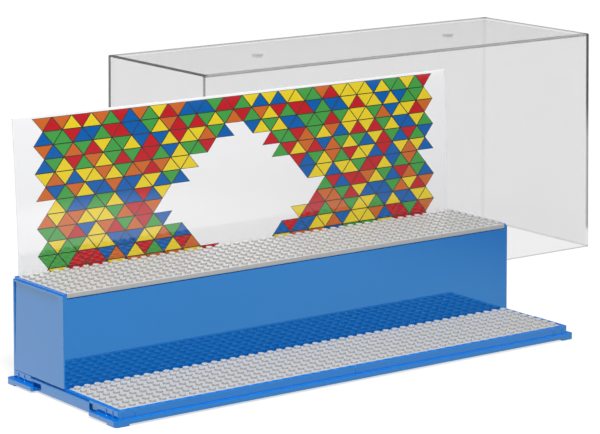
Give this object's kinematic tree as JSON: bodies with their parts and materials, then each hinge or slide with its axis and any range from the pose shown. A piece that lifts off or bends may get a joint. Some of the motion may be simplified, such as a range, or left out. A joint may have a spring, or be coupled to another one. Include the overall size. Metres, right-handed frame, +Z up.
{
  "type": "minifigure display case",
  "caption": "Long two-step display case: studded tray and studded riser, a printed sheet standing in the riser's rear slot, and a clear clip-on cover stood beside it.",
  "frame": {"origin": "middle of the tray, on the surface that its feet stand on", "axes": "+X along the case to the right as seen from the front, +Y from the front to the back, +Z up"},
  "size_m": [0.6264, 0.3748, 0.1856],
  "materials": {
    "blue_plastic": "glossy moulded plastic",
    "grey_plastic": "satin moulded plastic",
    "printed_sheet": "white sheet with a glossy print on the front",
    "clear_plastic": "clear polished plastic"
  },
  "bodies": {
    "base": {"base_tray": "blue_plastic", "lower_stud_plate": "grey_plastic", "riser_shell": "blue_plastic", "upper_stud_plate": "grey_plastic"},
    "backdrop": {"backdrop_sheet": "printed_sheet"},
    "cover": {"clear_cover": "clear_plastic"}
  },
  "joints": [
    {"name": "backdrop_lift", "type": "slide", "parent": "base", "child": "backdrop", "axis": [0, 0, 1], "range_m": [0, 0.12]},
    {"name": "cover_lift", "type": "slide", "parent": "base", "child": "cover", "axis": [0, 0, 1], "range_m": [0, 0.19]}
  ]
}
